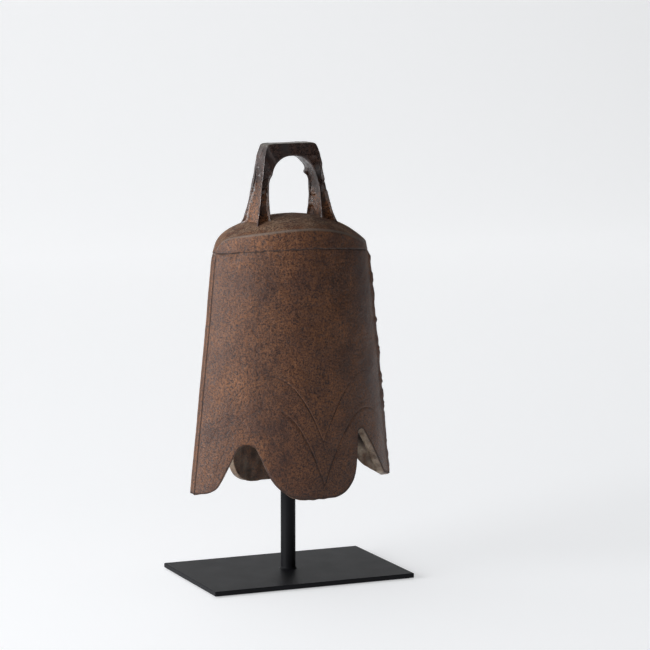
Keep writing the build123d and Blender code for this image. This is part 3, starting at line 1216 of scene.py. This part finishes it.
@dataclass(frozen=True)
class IronFinish:
    """Old cast iron under a thin brown rust patina.

    Colours are linear. The speckle mixes dark and mid, patches bring the warm
    colour, dust greys what faces up, and the surface's own tones do the rest,
    with painted highlights in the worn colour and painted shade in black.
    """

    name: str
    deep: Colour
    mid: Colour
    warm: Colour
    dust: Colour
    pale: Colour
    black: Colour
    wear_and_highlight: Colour
    grain_size: float = 1.0
    roughness: float = 0.41
    specular: float = 0.40
    relief: float = 0.00070
    dust_amount: float = 0.95
    streak_amount: float = 0.48
    warm_amount: float = 0.75
    pit_amount: float = 0.55

    def colour(self, nodes: Nodes, grain: bpy.types.Node,
               upward: bpy.types.NodeSocket) -> bpy.types.NodeSocket:
        """The patina's colour: each layer is mixed over the ones before by its own share.

        Args:
            nodes: The material's tree.
            grain: The speckle group's node.
            upward: How much the surface faces up.

        Returns:
            The colour.
        """
        speckle, blotch = grain.outputs["Speckle"], grain.outputs["Blotch"]
        warmth = nodes.times(grain.outputs["Patch"], self.warm_amount)
        dusty = nodes.times(nodes.ramp(upward, 0.35, 0.95), self.dust_amount)
        shade = tuple(0.35 * part for part in self.pale)
        layers = [
            (nodes.times(grain.outputs["Streaks"], self.streak_amount), self.deep),
            (nodes.times(warmth, speckle), self.warm),
            (nodes.times(nodes.tone(Tone.RUSTY), nodes.ramp(speckle, 0.1, 0.8)), self.warm),
            (nodes.times(nodes.times(dusty, speckle), blotch), self.dust),
            # Wear and painted highlights in the worn colour.
            (nodes.times(nodes.tone(Tone.WEAR_AND_HIGHLIGHT), 0.7), self.wear_and_highlight),
            (nodes.tone(Tone.BARE), nodes.mix(blotch, shade, self.pale)),
            (nodes.times(grain.outputs["Pits"], self.pit_amount), self.black),
            # Painted shade and grime in black.
            (nodes.times(nodes.tone(Tone.DARK), 0.9), self.black)]
        colour = nodes.mix(speckle, self.deep, self.mid)
        for share, over in layers:
            colour = nodes.mix(share, colour, over)
        return colour

    def gloss(self, nodes: Nodes, speckle: bpy.types.NodeSocket,
              upward: bpy.types.NodeSocket) -> bpy.types.NodeSocket:
        """The roughness: more on the speckle, the dust and the mask of grime and painted shade, and
        less on the mask of wear and painted highlights.

        Args:
            nodes: The material's tree.
            speckle: The mask of the speckle.
            upward: How much the surface faces up.

        Returns:
            The roughness.
        """
        rough = nodes.plus(nodes.times(speckle, 0.20), self.roughness - 0.10)
        rough = nodes.math("SUBTRACT", rough, nodes.times(nodes.tone(Tone.WEAR_AND_HIGHLIGHT), 0.14))
        dusty = nodes.times(nodes.ramp(upward, 0.30, 0.90), self.dust_amount)
        rough = nodes.plus(rough, nodes.times(dusty, 0.60), clamp=True)
        return nodes.plus(rough, nodes.times(nodes.tone(Tone.DARK), 0.4), clamp=True)

    def material(self, speckle_group: bpy.types.ShaderNodeTree) -> bpy.types.Material:
        """Builds the material from the shared speckle group."""
        material = bpy.data.materials.new(self.name)
        material.use_nodes = True
        nodes = Nodes(material.node_tree)
        grain = nodes.add("ShaderNodeGroup", {"node_tree": speckle_group}, Place=nodes.place(),
                          Size=self.grain_size)
        normal = nodes.add("ShaderNodeNewGeometry").outputs["Normal"]
        upward = nodes.add("ShaderNodeSeparateXYZ", Vector=normal).outputs["Z"]
        bump_node = nodes.add("ShaderNodeBump", Strength=1.0, Distance=self.relief,
                              Height=grain.outputs["Height"])
        shader = nodes.add("ShaderNodeBsdfPrincipled", Base_Color=self.colour(nodes, grain, upward),
                           Roughness=self.gloss(nodes, grain.outputs["Speckle"], upward),
                           Normal=bump_node.outputs["Normal"])
        shader.inputs["Specular IOR Level"].default_value = self.specular
        nodes.add("ShaderNodeOutputMaterial", Surface=shader.outputs[0])
        return material


@dataclass(frozen=True)
class CoatFinish:
    """A plain coat or cloth with a fine relief, such as powder coat, felt or bronze."""

    name: str
    low: Colour
    high: Colour
    roughness: float
    scale: float
    relief: float
    metallic: float = 0.0
    specular: float = 0.5

    def material(self) -> bpy.types.Material:
        """Builds the material: noise varies colour, roughness and height."""
        material = bpy.data.materials.new(self.name)
        material.use_nodes = True
        nodes = Nodes(material.node_tree)
        place = nodes.place()
        fine = nodes.noise(place, self.scale, 3.0, 0.6)
        broad = nodes.noise(place, self.scale / 40, 3.0, 0.6)
        share = nodes.plus(nodes.times(fine, 0.5), nodes.times(broad, 0.5))
        colour = nodes.mix(share, self.low, self.high)
        rough = nodes.plus(nodes.times(broad, 0.10), self.roughness - 0.05)
        bump_node = nodes.add("ShaderNodeBump", Strength=1.0, Distance=self.relief, Height=fine)
        shader = nodes.add("ShaderNodeBsdfPrincipled", Base_Color=colour, Roughness=rough,
                           Normal=bump_node.outputs["Normal"])
        shader.inputs["Metallic"].default_value = self.metallic
        shader.inputs["Specular IOR Level"].default_value = self.specular
        nodes.add("ShaderNodeOutputMaterial", Surface=shader.outputs[0])
        return material


def dress(piece: bpy.types.Object, material: bpy.types.Material) -> None:
    """Puts one material in all of a piece's slots."""
    if not piece.data.materials:
        piece.data.materials.append(material)
    for slot in piece.material_slots:
        slot.material = material


# ---------------------------------------------------------------------------------
# Stand
# ---------------------------------------------------------------------------------
@dataclass
class DisplayStand:
    """The stand's parts, which keep their shapes and get their finishes."""

    coat: CoatFinish = CoatFinish("satin_black_coat", (0.006, 0.006, 0.007), (0.010, 0.010, 0.012),
                                  0.50, 1400.0, 0.00004, specular=0.10)
    felt: CoatFinish = CoatFinish("black_wool_felt", (0.010, 0.010, 0.010), (0.035, 0.035, 0.035),
                                  0.95, 2200.0, 0.00030, specular=0.2)
    pad: CoatFinish = CoatFinish("grey_wool_felt", (0.030, 0.030, 0.032), (0.075, 0.075, 0.075),
                                 0.95, 2200.0, 0.00030, specular=0.2)
    bronze: CoatFinish = CoatFinish("bearing_bronze", (0.40, 0.24, 0.10), (0.50, 0.31, 0.14),
                                    0.35, 900.0, 0.00002, metallic=1.0)

    def build(self) -> None:
        """Dresses the stand's nodes."""
        nodes = frame["nodes"]
        coat = self.coat.material()
        for name in ("base_plate", "post", "foot_weld", "support_head"):
            dress(nodes[name], coat)
        dress(nodes["base_felt"], self.felt.material())
        dress(nodes["head_pad"], self.pad.material())
        dress(nodes["thrust_washer"], self.bronze.material())


# ---------------------------------------------------------------------------------
# Studio
# ---------------------------------------------------------------------------------
@dataclass
class Studio:
    """A pale sweep of paper, soft lights and the camera."""

    camera_place: Place = (-1.1758, -2.8331, 0.6842)
    camera_azimuth: float = -23.28
    camera_pitch: float = 7.70
    lens: float = 161.3
    sensor: float = 36.0
    floor_colour: Colour = (0.64, 0.64, 0.65)
    near_glow: float = 0.455
    far_glow: float = 0.585
    key_power: float = 108.0
    overhead_power: float = 26.0
    room_left: float = 0.60
    room_right: float = 0.03
    backdrop: float = 0.84
    floor_gap: float = 0.0004
    light_colour: Colour = (0.96, 0.98, 1.0)
    room_colour: Colour = (0.98, 0.99, 1.0)
    middle: Place = (0.0, 0.0, 0.25)

    def sweep(self) -> None:
        """The floor that curves up into a backdrop, as a profile swept sideways. The paper glows,
        more towards the back, as a painted light that lights the pieces too.
        """
        turn = np.linspace(0, np.pi / 2, 24)
        radius, back, front = 1.5, 3.0, -6.0
        depth = np.concatenate([[front], back + radius * np.sin(turn), [back + radius]])
        height = np.concatenate([[0.0], radius * (1 - np.cos(turn)), [6.0]]) - self.floor_gap
        side = np.array([-9.0, 9.0])
        places = np.broadcast_arrays(side[None, :], depth[:, None], height[:, None])
        points = np.stack(places, axis=-1)
        count = len(depth)
        index = np.arange(count * 2).reshape(count, 2)
        quads = np.stack([index[:-1, 0], index[:-1, 1], index[1:, 1], index[1:, 0]], axis=-1)
        floor = build_object("paper_sweep", points.reshape(-1, 3), quads, np.empty((0, 3), int))
        material = bpy.data.materials.new("pale_paper")
        material.use_nodes = True
        shader = material.node_tree.nodes["Principled BSDF"]
        shader.inputs["Base Color"].default_value = (*self.floor_colour, 1.0)
        shader.inputs["Roughness"].default_value = 0.9
        shader.inputs["Specular IOR Level"].default_value = 0.1
        shader.inputs["Emission Color"].default_value = (*self.room_colour, 1.0)
        nodes = Nodes(material.node_tree, keep=True)
        azimuth = radians(self.camera_azimuth)
        sideways = nodes.along(nodes.place(), (np.cos(azimuth), np.sin(azimuth), 0.0))
        away = nodes.along(nodes.place(), (-np.sin(azimuth), np.cos(azimuth), 0.0))
        growth = nodes.times(nodes.ramp(away, 0.4, 3.2), self.far_glow - self.near_glow)
        glow = nodes.plus(growth, self.near_glow)
        seen = nodes.add("ShaderNodeLightPath").outputs["Is Camera Ray"]
        kept = nodes.math("MAXIMUM", nodes.ramp(sideways, 1.4, 0.7), seen)
        nodes.put(shader.inputs["Emission Strength"], nodes.times(glow, kept))
        dress(floor, material)

    def lamp(self, name: str, place: Place, size: tuple[float, float],
             power: float) -> None:
        """An area light aimed at the object's middle.

        Args:
            name: The lamp's name.
            place: Where it stands.
            size: Its width and height in metres.
            power: Its power in watts.
        """
        data = bpy.data.lights.new(name, "AREA")
        data.shape = "RECTANGLE"
        data.size, data.size_y = size
        data.energy = power
        data.color = self.light_colour
        lamp = bpy.data.objects.new(name, data)
        aim = Vector(self.middle) - Vector(place)
        lamp.matrix_world = self.aimed(Vector(place), aim)
        lamp.visible_camera = False
        bpy.context.scene.collection.objects.link(lamp)

    @staticmethod
    def aimed(place: Vector, aim: Vector) -> Matrix:
        """The matrix of a lamp or camera at a place, with -Z along the aim and Y up."""
        return Matrix.Translation(place) @ aim.to_track_quat("-Z", "Y").to_matrix().to_4x4()

    def room(self) -> None:
        """The light of the room, which falls off from the window's side to the other."""
        world = bpy.data.worlds.new("soft_room")
        world.use_nodes = True
        nodes = Nodes(world.node_tree)
        direction = nodes.add("ShaderNodeTexCoord").outputs["Generated"]
        share = nodes.ramp(nodes.along(direction, (-0.92, 0.39, 0.0)), -0.2, 0.9)
        level = nodes.plus(nodes.times(share, self.room_left - self.room_right), self.room_right)
        seen = nodes.add("ShaderNodeLightPath").outputs["Is Camera Ray"]
        level = nodes.plus(nodes.times(level, nodes.math("SUBTRACT", 1.0, seen)),
                           nodes.times(seen, self.backdrop))
        background = nodes.add("ShaderNodeBackground", Color=(*self.room_colour, 1.0),
                               Strength=level)
        nodes.add("ShaderNodeOutputWorld", Surface=background.outputs[0])
        bpy.context.scene.world = world

    def build(self) -> None:
        """Sets up the sweep, the lights, the surrounding light and the camera."""
        self.sweep()
        self.lamp("key_window", (-2.95, -0.40, 0.82), (2.2, 1.6), self.key_power)
        self.lamp("overhead", (-0.2, 0.6, 3.2), (3.0, 3.0), self.overhead_power)
        self.room()
        bpy.context.scene.view_settings.view_transform = "Standard"
        data = bpy.data.cameras.new("camera")
        data.lens, data.sensor_width = self.lens, self.sensor
        data.clip_end = 50.0
        camera = bpy.data.objects.new("camera", data)
        azimuth, pitch = radians(self.camera_azimuth), radians(self.camera_pitch)
        level, rise = np.cos(pitch), np.sin(pitch)
        aim = Vector((-np.sin(azimuth) * level, np.cos(azimuth) * level, -rise))
        camera.matrix_world = self.aimed(Vector(self.camera_place), aim)
        bpy.context.scene.collection.objects.link(camera)
        bpy.context.scene.camera = camera


# The worn colours are wear and painted highlights; black is pits, grime and painted shade.
BELL_IRON = IronFinish(
    "rusted_bell_iron", deep=(0.017, 0.007, 0.006), mid=(0.138, 0.053, 0.026),
    warm=(0.310, 0.122, 0.042), dust=(0.310, 0.205, 0.130), pale=(0.520, 0.415, 0.310),
    black=(0.012, 0.008, 0.008), wear_and_highlight=(0.200, 0.160, 0.130))
LOOP_IRON = IronFinish(
    "rusted_loop_iron", deep=(0.013, 0.008, 0.008), mid=(0.054, 0.025, 0.018),
    warm=(0.210, 0.080, 0.026), dust=(0.090, 0.062, 0.048), pale=(0.230, 0.190, 0.150),
    black=(0.010, 0.007, 0.007), wear_and_highlight=(0.105, 0.074, 0.070), roughness=0.28, specular=0.68,
    relief=0.00040, dust_amount=0.25, pit_amount=0.25, grain_size=0.8, warm_amount=0.2)


def main() -> None:
    """Builds every piece in order and reports each one."""
    logging.basicConfig(level=logging.INFO, format="%(message)s")
    grain = grain_group()
    bell = BellCasting()
    shell = bell.build()
    dress(shell, BELL_IRON.material(grain))
    loop = CarryingLoop(bell).build()
    dress(loop, LOOP_IRON.material(grain))
    for piece in (shell, loop):
        log.info("%s: %d faces, %.1f cm3", piece.name, len(piece.data.polygons),
                 outward_volume(piece.data) * 1e6)
    DisplayStand().build()
    log.info("display stand: dressed")
    Studio().build()
    log.info("studio: built")


if __name__ == "__main__":
    main()
